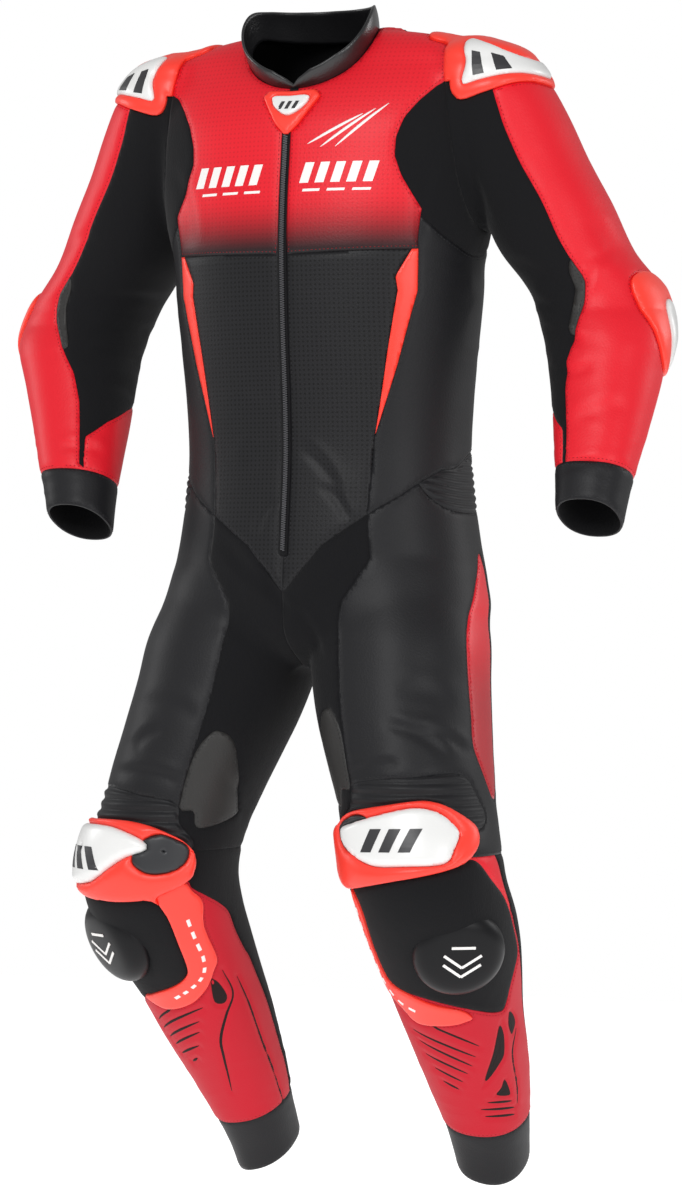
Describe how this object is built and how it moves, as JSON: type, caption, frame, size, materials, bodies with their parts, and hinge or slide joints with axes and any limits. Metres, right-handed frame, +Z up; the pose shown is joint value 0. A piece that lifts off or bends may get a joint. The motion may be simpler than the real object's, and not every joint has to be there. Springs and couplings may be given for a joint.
{
  "type": "motorcycle race suit",
  "caption": "One-piece leather race suit, hollow and worn by nobody, with stretch flanks, hard shoulder, elbow and knee cups and knee sliders.",
  "frame": {"origin": "inside the neck opening, at the height of the collar's front seam, where the wearer's shoulders hold the suit", "axes": "+Z up, the suit's front faces -Y, +X is the wearer's left"},
  "size_m": [0.866, 0.4091, 1.4097],
  "materials": {
    "leather_red": "smooth semi-gloss cowhide",
    "leather_black": "smooth, partly perforated cowhide",
    "collar_leather": "glossy padded leather",
    "stretch_black": "matte ribbed stretch cloth",
    "cup_fluo": "fluorescent red-orange moulded cup",
    "cup_white": "pale moulded cup",
    "slider_black": "hard wearing puck",
    "zip_metal": "dark zip teeth and tape"
  },
  "bodies": {
    "root": {"collar": "collar_leather", "zip": "zip_metal", "zip_shield": "leather_red", "back": "leather_black", "seat": "leather_black", "front_left": "leather_red", "side_left": "stretch_black", "sleeve_left": "leather_red", "cuff_left": "leather_black", "inner_left": "stretch_black", "thigh_left": "leather_black", "shin_left": "leather_red", "ankle_left": "leather_black", "shoulder_cup_left": "cup_fluo", "elbow_cup_left": "cup_fluo", "knee_cup_left": "cup_white", "knee_slider_left": "slider_black", "front_right": "leather_red", "side_right": "stretch_black", "sleeve_right": "leather_red", "cuff_right": "leather_black", "inner_right": "stretch_black", "thigh_right": "leather_black", "shin_right": "leather_red", "ankle_right": "leather_black", "shoulder_cup_right": "cup_fluo", "elbow_cup_right": "cup_fluo", "knee_cup_right": "cup_white", "knee_slider_right": "slider_black"}
  },
  "joints": []
}
